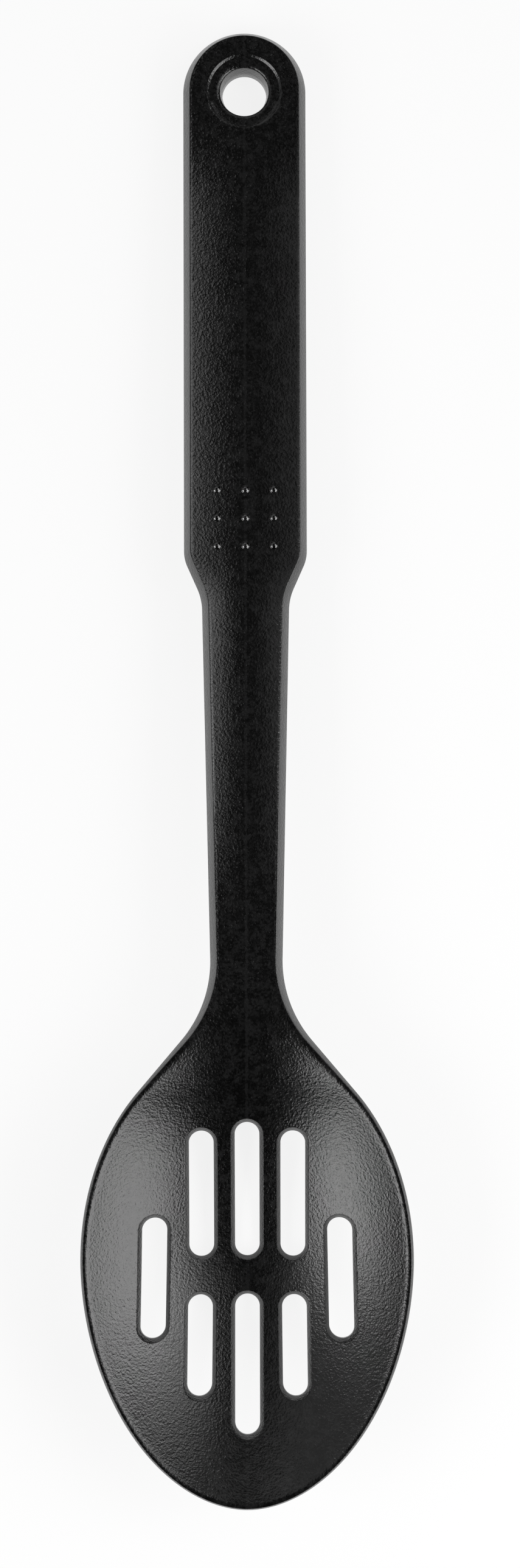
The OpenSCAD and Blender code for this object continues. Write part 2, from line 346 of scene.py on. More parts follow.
class Form:
    """The moulding's surfaces: how high its front and its back lie at any plan point.

    Attributes:
        handle: Sizes of the handle.
        bowl: Sizes of the bowl.
        outline: The outline at the parting line.
        inner: The line that the dish starts from, as rising levels and squared half widths.
        under: The line that the back starts from, in the same form.
    """

    # Each line runs on this far past the tip, at the slope of this many of its last steps
    RUN_ON = 5.0
    RUN_ON_STEPS = 4

    def __init__(self, handle: HandleSizes, bowl: BowlSizes) -> None:
        """Works out the lines that the dish and the back start from.

        Args:
            handle: Sizes of the handle.
            bowl: Sizes of the bowl.
        """
        self.handle, self.bowl = handle, bowl
        self.outline = Outline(handle, bowl)
        self.inner = self._inset_line(lambda y: self.facet(y) + bowl.rim_top)
        self.under = self._inset_line(lambda y: handle.under_in + 0 * y)

    def _inset_line(self, distance: Callable[[np.ndarray], np.ndarray]) -> np.ndarray:
        """Moves the outline inwards.

        Args:
            distance: Gives how far the outline moves at each level along the spoon.

        Returns:
            Rising levels in one row, and the squared half widths there in the other.
        """
        points = self.outline.points - distance(self.outline.points[:, 1])[:, None] * self.outline.normals
        levels, squares = points[::-1, 1], points[::-1, 0] ** 2
        near = self.RUN_ON_STEPS
        slope = (squares[near] - squares[0]) / (levels[near] - levels[0])
        return np.array([
            np.append(levels[0] - self.RUN_ON, levels),
            np.append(squares[0] - slope * self.RUN_ON, squares),
        ])

    def rim_share(self, y: Number) -> Number:
        """How far the handle's edge has turned into the rim's."""
        return ease((self.outline.neck[1] - y) / self.bowl.rim_fade)

    def wall_share(self, y: Number) -> Number:
        """How far the handle's thickness has thinned to the bowl's wall."""
        return ease((self.outline.neck[1] - y) / self.bowl.wall_fade)

    def facet(self, y: Number) -> Number:
        """How far the edge facet leans out."""
        return mix(self.handle.facet_w, self.bowl.rim_facet, self.rim_share(y))

    def drop(self, y: Number) -> Number:
        """Depth of the parting line."""
        return mix(self.handle.parting_drop, self.bowl.rim_drop, self.rim_share(y))

    def _dish(self, x: np.ndarray, y: np.ndarray, line: np.ndarray, wide_in: float, neck_in: float) -> tuple:
        """Works out a dish inside a line.

        Args:
            x: Plan points across the spoon.
            y: Plan points along it.
            line: The line that the dish starts from.
            wide_in: How far inside the outline that line lies at the bowl's widest place.
            neck_in: How far inside the outline it lies at the neck.

        Returns:
            The depth, which turns negative outside the line, and its share of the full depth on the axis.
        """
        squares = np.interp(y, line[0], line[1])
        full = (self.bowl.half - wide_in) ** 2
        start = (self.outline.neck[0] - neck_in) ** 2
        upper = (squares - start) / (full - start)
        safe = np.maximum(squares, start)
        share = np.where(y > 0, upper, squares / full)
        depth = np.where(y > 0, upper * (1 - x * x / safe), (squares - x * x) / full)
        above = y >= self.outline.neck[1]
        return np.where(above, 0, depth) * self.bowl.depth, np.where(above, 0, share)

    def sunk(self, x: np.ndarray, y: np.ndarray) -> np.ndarray:
        """Works out the slight hollow that the nylon's shrinkage leaves along the handle's front.

        Args:
            x: Plan points across the spoon.
            y: Plan points along it.

        Returns:
            Its depth.
        """
        handle, neck_y = self.handle, self.outline.neck[1]
        along = np.clip((y - neck_y) / (handle.shoulder_y - neck_y), 0, 1)
        depth = mix(handle.hollow_low, handle.hollow, along) * ease((y - neck_y) / handle.hollow_fade)
        depth = depth * ease((handle.end_y - y) / handle.hollow_fade)
        half = np.sqrt(np.maximum(np.interp(y, self.inner[0], self.inner[1]), 0)) + self.bowl.rim_top
        return depth * np.maximum(1 - (x / half) ** 2, 0)

    def front(self, x: np.ndarray, y: np.ndarray) -> np.ndarray:
        """Works out the front surface.

        Args:
            x: Plan points across the spoon.
            y: Plan points along it.

        Returns:
            Its height.
        """
        bowl = self.bowl
        depth, share = self._dish(x, y, self.inner, bowl.rim_facet + bowl.rim_top,
                                  self.handle.facet_w + bowl.rim_top)
        soft = bowl.rim_soft * ease(share / bowl.rim_soft_share)
        return -(np.sqrt(depth * depth + soft * soft) + depth) / 2 - self.sunk(x, y)

    def back(self, x: np.ndarray, y: np.ndarray) -> np.ndarray:
        """Works out the back surface.

        Args:
            x: Plan points across the spoon.
            y: Plan points along it.

        Returns:
            Its height.
        """
        handle, bowl = self.handle, self.bowl
        half = np.sqrt(np.maximum(np.interp(y, self.under[0], self.under[1]), 0))
        wall = self.wall_share(y)
        _, share = self._dish(np.zeros_like(x), y, self.under, handle.under_in, handle.under_in)
        middle = -bowl.depth * np.maximum(share, 0) - mix(handle.thickness, bowl.wall, wall)
        edge = -(self.drop(y) + handle.under_h)
        out = np.where(y > handle.end_y, np.hypot(x, y - handle.end_y) / (handle.half - handle.under_in),
                       np.abs(x) / np.maximum(half, TINY))
        power = mix(handle.back_power, bowl.back_power, wall)
        return mix(edge, middle, 1 - np.minimum(out, 1) ** power)


@dataclass(frozen=True)
class Opening:
    """A round or round-ended opening through a plate.

    Attributes:
        low: Plan point of the middle of one end.
        high: Plan point of the middle of the other end.
        radii: Half width at each level through the thickness.
        below: Depth under the front surface at each level.
        flats: How far that depth is measured from the level plane and not from the hollowed front.
        above: Height over the back surface at each level.
        shares: How far each level is measured from the back and not from the front.
        fade: Distance over which the back sheet follows the opening.
    """

    low: tuple
    high: tuple
    radii: tuple
    below: tuple
    flats: tuple
    above: tuple
    shares: tuple
    fade: float

    def foot(self, x: np.ndarray, y: np.ndarray) -> tuple:
        """Finds the nearest point of the opening's middle line.

        Args:
            x: Plan points across the spoon.
            y: Plan points along it.

        Returns:
            That point across and along the spoon, the distance from it, and the way out from it.
        """
        low, high = np.array(self.low), np.array(self.high)
        run = high - low
        square = max(float(run @ run), TINY_SQUARE)
        t = np.clip(((x - low[0]) * run[0] + (y - low[1]) * run[1]) / square, 0, 1)
        fx, fy = low[0] + t * run[0], low[1] + t * run[1]
        out = np.maximum(np.hypot(x - fx, y - fy), TINY)
        return fx, fy, out, (x - fx) / out, (y - fy) / out


class Bench:
    """Bpy operators on one object at a time, as by hand."""

    # Points this near a cut lie on it
    CUT_TOLERANCE = 1e-5

    # A place off every line of symmetry, so that points are hardly ever equally far from it
    SORT_FROM = (61.7, 143.9, 37.3)

    @staticmethod
    def clear() -> None:
        """Deselects everything."""
        bpy.ops.object.select_all(action="DESELECT")

    @staticmethod
    def take(piece: bpy.types.Object) -> None:
        """Makes one object the only selected and active one.

        Args:
            piece: The object.
        """
        Bench.clear()
        piece.select_set(True)
        bpy.context.view_layer.objects.active = piece

    @staticmethod
    def coords(piece: bpy.types.Object) -> np.ndarray:
        """Reads where an object's vertices lie.

        Args:
            piece: The object.

        Returns:
            Their places, one row each.
        """
        flat = np.zeros(len(piece.data.vertices) * 3, np.float32)
        piece.data.vertices.foreach_get("co", flat)
        return flat.reshape(-1, 3).astype(float)

    @staticmethod
    def place(piece: bpy.types.Object, points: np.ndarray) -> None:
        """Moves the object's vertices to new places."""
        piece.data.vertices.foreach_set("co", points.astype(np.float32).ravel())
        piece.data.update()

    @staticmethod
    def cut(axis: Axis, at: float, **sides: bool) -> None:
        """Cuts the mesh in edit mode.

        Args:
            axis: The axis that the cut lies across.
            at: Where on that axis it lies.
            sides: The bisect operator's settings that clear or fill a side.
        """
        bpy.ops.mesh.select_all(action="SELECT")
        plane = tuple(at * n for n in axis.value)
        bpy.ops.mesh.bisect(plane_co=plane, plane_no=axis.value, threshold=Bench.CUT_TOLERANCE, **sides)

    @staticmethod
    def sort() -> None:
        """Puts the mesh's elements in a fixed order, because the cuts' own order changes from run to run."""
        cursor = bpy.context.scene.cursor
        cursor.location = Bench.SORT_FROM
        bpy.ops.mesh.select_all(action="SELECT")
        bpy.ops.mesh.sort_elements(type="CURSOR_DISTANCE", elements={"VERT", "EDGE", "FACE"})
        cursor.location = (0, 0, 0)

    @staticmethod
    def boolean(piece: bpy.types.Object, cutter: bpy.types.Object) -> None:
        """Takes a cutter's shape away from a piece.

        Args:
            piece: What is cut.
            cutter: What cuts it, and is then deleted.
        """
        Bench.take(piece)
        tool = piece.modifiers.new("openings", "BOOLEAN")
        tool.operation, tool.solver, tool.object = "DIFFERENCE", "EXACT", cutter
        bpy.ops.object.modifier_apply(modifier=tool.name)
        bpy.data.objects.remove(cutter)


@dataclass
class Zone:
    """A stretch of the moulding, made as a flat plate and settled onto the moulding's surfaces.

    Attributes:
        form: The moulding's surfaces.
        rest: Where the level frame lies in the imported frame.
        low_y: Level of the plane at the zone's lower end, if it has one.
        high_y: Level of the plane at its upper end, if it has one.
        cell: Spacing of the cuts across the plate, both ways.
        lap: How far the plate first runs past such a plane.
        edge_round: Reach of the rounding at the edge of the front.
        edge_strip: Width of the strip between that rounding and the flat plate.
        ridge: Height of the fine ridge along the edge of the handle's front.
        parting_round: Reach of the rounding at the parting line.
        back_lap: How far the wall's last levels run over the back.
        fade: Distance over which the back sheet follows the wall.
        rings: Widths of the rings that are inset round the plate.
        smooth_angle: The sharpest angle that is shaded smooth.
        node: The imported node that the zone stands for.
        tolerance: How near two places count as one.
    """

    form: Form
    rest: Matrix
    low_y: float | None = None
    high_y: float | None = None
    cell: tuple = (1.6, 1.8)
    lap: float = 7.0
    edge_round: float = 0.16
    edge_strip: float = 0.24
    ridge: float = 0.07
    parting_round: float = 0.16
    back_lap: float = 1.3
    fade: float = 4.0
    rings: tuple = (0.25, 0.25, 0.25, 0.3, 0.4, 0.55, 0.8)
    smooth_angle: float = math.radians(33)
    node: str = ""
    tolerance: float = 0.02

    # Sides of the cylinder that cuts an opening
    CUTTER_SIDES = 72

    # Plate points are measured against the edge this many at a time, to save memory
    BATCH = 2000

    def openings(self) -> list[Opening]:
        """The openings through this zone."""
        return []

    def edge_offset(self, y: np.ndarray) -> np.ndarray:
        """How far inside the parting line the flat plate ends."""
        return self.form.facet(y) + self.edge_round + self.edge_strip

    def closed_outline(self) -> np.ndarray:
        """Finds the flat plate's edge all round, with a straight lap past each plane that ends the zone.

        Returns:
            Its plan points, one row each.
        """
        line = self.form.outline
        edge = line.points - self.edge_offset(line.points[:, 1])[:, None] * line.normals
        right = edge[edge[:, 0] > self.tolerance]
        if self.high_y is None:
            right = np.vstack([[0, edge[0, 1]], right])
        else:
            x = np.interp(self.high_y, edge[::-1, 1], edge[::-1, 0])
            below = right[right[:, 1] < self.high_y - self.tolerance]
            right = np.vstack([[x, self.high_y + self.lap], [x, self.high_y], below])
        if self.low_y is None:
            right = np.vstack([right, [0, edge[-1, 1]]])
        else:
            x = np.interp(self.low_y, edge[::-1, 1], edge[::-1, 0])
            above = right[right[:, 1] > self.low_y + self.tolerance]
            right = np.vstack([above, [x, self.low_y], [x, self.low_y - self.lap]])
        left = right[::-1] * (-1, 1)
        return np.vstack([right, left[left[:, 0] < -self.tolerance]])

    def lay_plate(self) -> bpy.types.Object:
        """Adds a circle, lays it along the outline, insets it for the rim and extrudes it to a plate.

        Returns:
            The plate.
        """
        outline = self.closed_outline()
        Bench.clear()
        bpy.ops.mesh.primitive_circle_add(vertices=len(outline), radius=1, fill_type="NGON")
        plate = bpy.context.object
        plate.name = self.node + "_plate"
        Bench.place(plate, np.column_stack([outline, np.zeros(len(outline))]))
        bpy.ops.object.mode_set(mode="EDIT")
        bpy.ops.mesh.select_all(action="SELECT")
        for ring in self.rings:
            bpy.ops.mesh.inset(thickness=ring, use_even_offset=True)
        bpy.ops.mesh.select_all(action="SELECT")
        bpy.ops.mesh.extrude_region_move(TRANSFORM_OT_translate={"value": (0, 0, -LEVELS * LEVEL_H)})
        bpy.ops.mesh.select_all(action="SELECT")
        bpy.ops.mesh.normals_make_consistent(inside=False)
        bpy.ops.object.mode_set(mode="OBJECT")
        return plate

    def punch(self, plate: bpy.types.Object, opening: Opening) -> None:
        """Cuts one opening with a cylinder whose upper half is drawn out to the opening's far end.

        Args:
            plate: The flat plate.
            opening: The opening.
        """
        height = LEVELS * LEVEL_H
        Bench.clear()
        bpy.ops.mesh.primitive_cylinder_add(vertices=self.CUTTER_SIDES, radius=opening.radii[0],
                                            depth=2 * height, location=(0, 0, -height / 2))
        cutter = bpy.context.object
        bpy.ops.object.transform_apply(location=True)
        run = Vector(opening.high) - Vector(opening.low)
        turn = run.angle_signed(Vector((0, 1))) if run.length > self.tolerance else 0.0
        x, y, z = Bench.coords(cutter).T
        y = np.where(y > self.tolerance, y + run.length, y)
        c, s = math.cos(turn), math.sin(turn)
        spun = np.column_stack([c * x - s * y, s * x + c * y])
        Bench.place(cutter, np.column_stack([spun + np.array(opening.low), z]))
        Bench.boolean(plate, cutter)

    def slice_plate(self, plate: bpy.types.Object) -> None:
        """Cuts the plate into cells, its walls into levels, and its laps away.

        Args:
            plate: The flat plate.
        """
        points = Bench.coords(plate)
        Bench.take(plate)
        bpy.ops.object.mode_set(mode="EDIT")
        for axis, column in ((Axis.Y, 1), (Axis.X, 0)):
            step = self.cell[column]
            first, last = points[:, column].min() / step, points[:, column].max() / step
            for k in range(math.ceil(first), math.floor(last) + 1):
                Bench.cut(axis, k * step)
        for k in range(1, LEVELS):
            Bench.cut(Axis.Z, -k * LEVEL_H)
        if self.low_y is not None:
            Bench.cut(Axis.Y, self.low_y, use_fill=True, clear_inner=True)
        if self.high_y is not None:
            Bench.cut(Axis.Y, self.high_y, use_fill=True, clear_outer=True)
        Bench.sort()
        bpy.ops.mesh.remove_doubles(threshold=self.tolerance)
        bpy.ops.mesh.dissolve_degenerate(threshold=self.tolerance)
        bpy.ops.object.mode_set(mode="OBJECT")

    def locate(self, x: np.ndarray, y: np.ndarray) -> tuple:
        """Finds the nearest place on the plate's edge.

        Args:
            x: Plan points across the spoon.
            y: Plan points along it.

        Returns:
            The distance, the outline point at the parting line, and the outward direction there.
        """
        line = self.form.outline
        edge = line.points - self.edge_offset(line.points[:, 1])[:, None] * line.normals
        start, run = edge[:-1], edge[1:] - edge[:-1]
        squares = np.maximum((run * run).sum(1), TINY_SQUARE)
        distance = np.empty(len(x))
        foot, way = np.empty((len(x), 2)), np.empty((len(x), 2))
        for k in range(0, len(x), self.BATCH):
            part = slice(k, k + self.BATCH)
            p = np.column_stack([np.abs(x[part]), y[part]])[:, None, :]
            t = np.clip(((p - start) * run).sum(2) / squares, 0, 1)
            gap = np.linalg.norm(p - start - t[..., None] * run, axis=2)
            best = gap.argmin(1)
            rows = np.arange(len(best))
            share = t[rows, best][:, None]
            distance[part] = gap[rows, best]
            foot[part] = mix(line.points[best], line.points[best + 1], share)
            way[part] = mix(line.normals[best], line.normals[best + 1], share)
        way /= np.linalg.norm(way, axis=1, keepdims=True)
        side = np.where(x < 0, -1.0, 1.0)
        foot[:, 0] *= side
        way[:, 0] *= side
        return distance, foot, way

    def wall_profile(self, level: np.ndarray, y: np.ndarray, front: np.ndarray) -> tuple:
        """Works out the outer wall, from the front's edge round to the back.

        Args:
            level: Step through the thickness of each point, from 0 at the front.
            y: Level along the spoon of each point.
            front: Height of the front surface at the plate's edge.

        Returns:
            How far inside the parting line each point lies, its height, and whether it lies on the back.
        """
        facet, drop = self.form.facet(y), self.form.drop(y)
        handle = self.form.handle
        length = np.hypot(facet, drop)
        slant = np.stack([-facet, -drop]) / length
        crest = np.stack([facet, front + self.ridge * (1 - self.form.rim_share(y))])
        inner = crest + np.stack([np.full_like(y, self.edge_round), 0 * y])
        outer = crest + slant * self.edge_round
        parting = np.stack([0 * y, -drop])
        under = np.stack([np.full_like(y, handle.under_in), -(drop + handle.under_h)])
        down = (under - parting) / np.linalg.norm(under - parting, axis=0)
        before, after = parting - slant * self.parting_round, parting + down * self.parting_round
        table = np.stack([
            inner + np.stack([np.full_like(y, self.edge_strip), 0 * y]),
            inner,
            *[corner(inner, crest, outer, share) for share in (0.25, 0.5, 0.75)],
            outer,
            mix(outer, before, 0.5),
            before,
            corner(before, parting, after, 0.5),
            after,
            under,
        ])
        last = len(table) - 1
        picked = table[np.minimum(level, last), :, np.arange(len(level))]
        behind = level >= last
        share = (level - last) / (LEVELS - last)
        off = np.where(behind, handle.under_in + self.back_lap * share, picked[:, 0])
        return off, picked[:, 1], behind

    def settle_opening(self, opening: Opening, plate: tuple, level: np.ndarray,
                       free: np.ndarray) -> np.ndarray:
        """Moves the wall of an opening to its place, and draws the back sheet round it after it.

        Args:
            opening: The opening.
            plate: The plate's coordinates, which are changed.
            level: Step through the thickness of each point.
            free: Whether each point is still free to move.

        Returns:
            Whether each point lies on the opening's wall.
        """
        x, y, z = plate
        fx, fy, out, dx, dy = opening.foot(x, y)
        rim = free & (np.abs(out - opening.radii[0]) < self.tolerance * 2)
        k = level[rim]
        radii, shares, flats = np.array(opening.radii), np.array(opening.shares), np.array(opening.flats)
        x[rim], y[rim] = fx[rim] + dx[rim] * radii[k], fy[rim] + dy[rim] * radii[k]
        from_front = self.form.front(x[rim], y[rim]) * (1 - flats[k]) - np.array(opening.below)[k]
        from_back = self.form.back(x[rim], y[rim]) + np.array(opening.above)[k]
        z[rim] = mix(from_front, from_back, shares[k])
        close = free & ~rim & (level == LEVELS) & (out < radii[0] + opening.fade)
        pull = (radii[0] - radii[-1]) * (1 - (out[close] - radii[0]) / opening.fade) ** 2
        x[close] -= dx[close] * pull
        y[close] -= dy[close] * pull
        return rim

    def settle(self, flat: np.ndarray) -> np.ndarray:
        """Moves the flat plate's points to their places on the moulding.

        Args:
            flat: Points of the flat plate.

        Returns:
            The same points in the level frame.
        """
        x, y = flat[:, 0].copy(), flat[:, 1].copy()
        level = np.rint(-flat[:, 2] / LEVEL_H).astype(int)
        z = np.where(level == 0, self.form.front(x, y), 0.0)
        distance, foot, way = self.locate(x, y)
        wall = distance < self.tolerance
        behind = level == LEVELS
        move = (behind & ~wall)[:, None] * way
        shift = self.form.handle.under_in + self.back_lap - self.edge_offset(foot[:, 1])
        near = np.clip(1 - distance / self.fade, 0, 1) ** 2
        x -= move[:, 0] * shift * near
        y -= move[:, 1] * shift * near
        free = ~wall
        for opening in self.openings():
            free &= ~self.settle_opening(opening, (x, y, z), level, free)
        sheet = free & behind
        z[sheet] = self.form.back(x[sheet], y[sheet])
        fy, along = foot[wall, 1], level[wall]
        start = foot[wall] - (self.edge_offset(fy) - self.edge_strip)[:, None] * way[wall]
        off, height, on_back = self.wall_profile(along, fy, self.form.front(start[:, 0], start[:, 1]))
        place = foot[wall] - off[:, None] * way[wall]
        x[wall], y[wall] = place[:, 0], place[:, 1]
        height = np.where(on_back, self.form.back(place[:, 0], place[:, 1]), height)
        height = np.where(along == 0, self.form.front(place[:, 0], place[:, 1]), height)
        z[wall] = height
        return np.column_stack([x, y, z])

    def build(self) -> bpy.types.Object:
        """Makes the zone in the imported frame.

        Returns:
            Its piece.
        """
        piece = self.lay_plate()
        for opening in self.openings():
            self.punch(piece, opening)
        self.slice_plate(piece)
        Bench.place(piece, self.settle(Bench.coords(piece)))
        self.lay_down(piece)
        return piece

    def lay_down(self, piece: bpy.types.Object) -> None:
        """Turns a level piece as the spoon lies, in metres, and smooths its shading.

        Args:
            piece: The piece.
        """
        piece.data.transform(self.rest)
        piece.name = piece.data.name = self.node + "_moulded"
        Bench.take(piece)
        bpy.ops.object.mode_set(mode="EDIT")
        bpy.ops.mesh.select_all(action="SELECT")
        bpy.ops.mesh.normals_make_consistent(inside=False)
        bpy.ops.object.mode_set(mode="OBJECT")
        bpy.ops.object.shade_smooth_by_angle(angle=self.smooth_angle)


@dataclass
class Grip(Zone):
    """The flat grip with its half-round hanging end, hanging hole and shallow ring.

    Attributes:
        hole_d: Width of the hole's straight stretch.
        hole_from_end: From the hanging end to the hole's middle.
        hole_land: Length of the straight stretch, at the back.
        mouth_d: Width of the hole under its rounded mouth.
        mouth_round: Radius of that mouth.
        mouth_draft: How far the bore draws in just under the mouth.
        ring_d: Width of the dished ring round the hole.
        ring_depth: Depth of that ring.
        ring_step: Width of the slope at the ring's edge.
        ring_strip: Width of the strips of cells beside the slope and the mouth.
        back_round: Radius of the hole's edge at the back.
        back_fade: Distance over which the back sheet follows the hole.
    """

    node: str = "grip"
    hole_d: float = 9.5
    hole_from_end: float = 13.5
    hole_land: float = 3.0
    mouth_d: float = 10.3
    mouth_round: float = 0.9
    mouth_draft: float = 0.03
    ring_d: float = 16.1
    ring_depth: float = 0.35
    ring_step: float = 0.5
    ring_strip: float = 0.3
    back_round: float = 0.25
    back_fade: float = 4.4

    # Steps round the mouth
    MOUTH_STEPS = 5

    def openings(self) -> list[Opening]:
        """Lays out the hanging hole, from the ring's edge through the rounded mouth to the back.

        Returns:
            The hole alone.
        """
        ring, mouth, bore = self.ring_d / 2, self.mouth_d / 2, self.hole_d / 2
        deep, r, strip = self.ring_depth, self.mouth_round, self.ring_strip
        step = [(ring + strip, 0.0, 0.0), (ring, 0.0, 0.0)]
        step += [(ring - share * self.ring_step, share * deep, share) for share in (0.25, 0.75, 1.0)]
        lip = [
            (corner(mouth + r, mouth, mouth, turn), corner(deep, deep, deep + r, turn), 1.0)
            for turn in (k / self.MOUTH_STEPS for k in range(self.MOUTH_STEPS + 1))
        ]
        inside = (mouth - self.mouth_draft, deep + r + strip, 1.0)
        front = [*step, (mouth + r + strip, deep, 1.0), *lip, inside]
        soft, middle = self.back_round, EDGE_MIDDLE * self.back_round
        back = [(bore, self.hole_land), (bore, soft), (bore + middle, middle), (bore + soft, 0.0)]
        y = self.form.handle.reach - self.hole_from_end
        radii, below, flats = zip(*front, *[(radius, 0.0, 1.0) for radius, _ in back])
        above = (0.0,) * len(front) + tuple(height for _, height in back)
        shares = (0.0,) * len(front) + (1.0,) * len(back)
        return [Opening((0, y), (0, y), radii, below, flats, above, shares, self.back_fade)]


@dataclass
class Shank(Zone):
    """The shoulder and the tapered shank."""

    node: str = "shank"


@dataclass
class Bowl(Zone):
    """The flare and the slotted bowl with its raised rim.

    Attributes:
        slot_w: Width of every slot.
        upper_pitch: From the axis to an upper side slot.
        upper_len: Length of the upper side slots.
        upper_extra: How much longer the upper middle slot is.
        lower_pitch: From the axis to a lower side slot.
        lower_len: Length of the lower side slots.
        lower_extra: How much longer the lower middle slot is.
        outer_pitch: From the axis to an outer slot.
        outer_len: Length of the outer slots.
        lower_splay: Lean of the lower side slots.
        outer_splay: Lean of the outer slots.
        bridge_w: Width of the bridge between the upper and the lower slots.
        bridge_low: How far the bridge's middle lies below the bowl's widest place.
        lip: Width of the bevel round a slot.
        lip_slope: Steepness of that bevel.
        lip_soft: Reach of the rounding at its top.
        lip_foot: Reach of the rounding at its foot.
        strip: Width of the strip of cells round it.
        back_round: Radius of a slot's edge at the back.
        back_fade: Distance over which the back sheet follows a slot.
    """

    node: str = "bowl"
    slot_w: float = 5.3
    upper_pitch: float = 9.85
    upper_len: float = 27.3
    upper_extra: float = 1.8
    lower_pitch: float = 10.2
    lower_len: float = 21.0
    lower_extra: float = 7.9
    outer_pitch: float = 20.05
    outer_len: float = 25.5
    lower_splay: float = math.radians(0.45)
    outer_splay: float = math.radians(0.9)
    bridge_w: float = 8.2
    bridge_low: float = 4.7
    lip: float = 0.82
    lip_slope: float = math.radians(61)
    lip_soft: float = 0.07
    lip_foot: float = 0.22
    strip: float = 0.16
    back_round: float = 0.2
    back_fade: float = 1.3

    # Steps round the bevel's top and round its foot
    TOP_STEPS = 3
    FOOT_STEPS = 4

    def slot(self, x: float, low: float, high: float, splay: float = 0.0) -> Opening:
        """Lays out a round-ended slot with a bevelled lip at the front and a rounded edge at the back.

        Args:
            x: Distance from the spoon's axis.
            low: Level of the end towards the tip.
            high: Level of the end towards the handle.
            splay: Lean outwards at the tip's end.

        Returns:
            The opening.
        """
        r = self.slot_w / 2
        middle, reach = (low + high) / 2, (high - low) / 2 - r
        out, along = math.copysign(reach * math.sin(splay), x), reach * math.cos(splay)
        slope = np.array([-math.cos(self.lip_slope), math.sin(self.lip_slope)])
        edge, foot = np.array([r + self.lip, 0.0]), np.array([r, self.lip * math.tan(self.lip_slope)])
        start, wall = edge + (self.lip_soft, 0), foot + (0, self.lip_foot)
        bevel = [
            *[corner(start, edge, edge + slope * self.lip_soft, k / self.TOP_STEPS)
              for k in range(self.TOP_STEPS + 1)],
            *[corner(foot - slope * self.lip_foot, foot, wall, k / self.FOOT_STEPS)
              for k in range(self.FOOT_STEPS + 1)],
        ]
        walls = LEVELS - len(bevel) - 1
        soft, inset = self.back_round, EDGE_MIDDLE * self.back_round
        radii = [start[0] + self.strip] + [float(p[0]) for p in bevel]
        radii += [r] * (walls - 1) + [r + inset, r + soft]
        below = [0.0] + [float(p[1]) for p in bevel] + [float(wall[1])] * (walls + 1)
        above = [soft] * (len(radii) - 2) + [inset, 0]
        shares = [0.0] * (len(bevel) + 1) + [k / (walls - 1) for k in range(1, walls)] + [1.0, 1.0]
        return Opening((x + out, middle - along), (x - out, middle + along), tuple(radii), tuple(below),
                       (0.0,) * len(radii), tuple(above), tuple(shares), self.back_fade)

    def openings(self) -> list[Opening]:
        """Lays out three upper slots, three lower slots and one outer slot on each side.

        Returns:
            The eight slots.
        """
        top = self.bridge_w / 2 - self.bridge_low
        bottom = top - self.bridge_w
        slots = [
            self.slot(0, top, top + self.upper_len + self.upper_extra),
            self.slot(0, bottom - self.lower_len - self.lower_extra, bottom),
        ]
        for side in Side:
            slots.append(self.slot(side.value * self.upper_pitch, top, top + self.upper_len))
            slots.append(self.slot(side.value * self.lower_pitch, bottom - self.lower_len, bottom,
                                   self.lower_splay))
            middle = -self.bridge_low
            slots.append(self.slot(side.value * self.outer_pitch, middle - self.outer_len / 2,
                                   middle + self.outer_len / 2, self.outer_splay))
        return slots


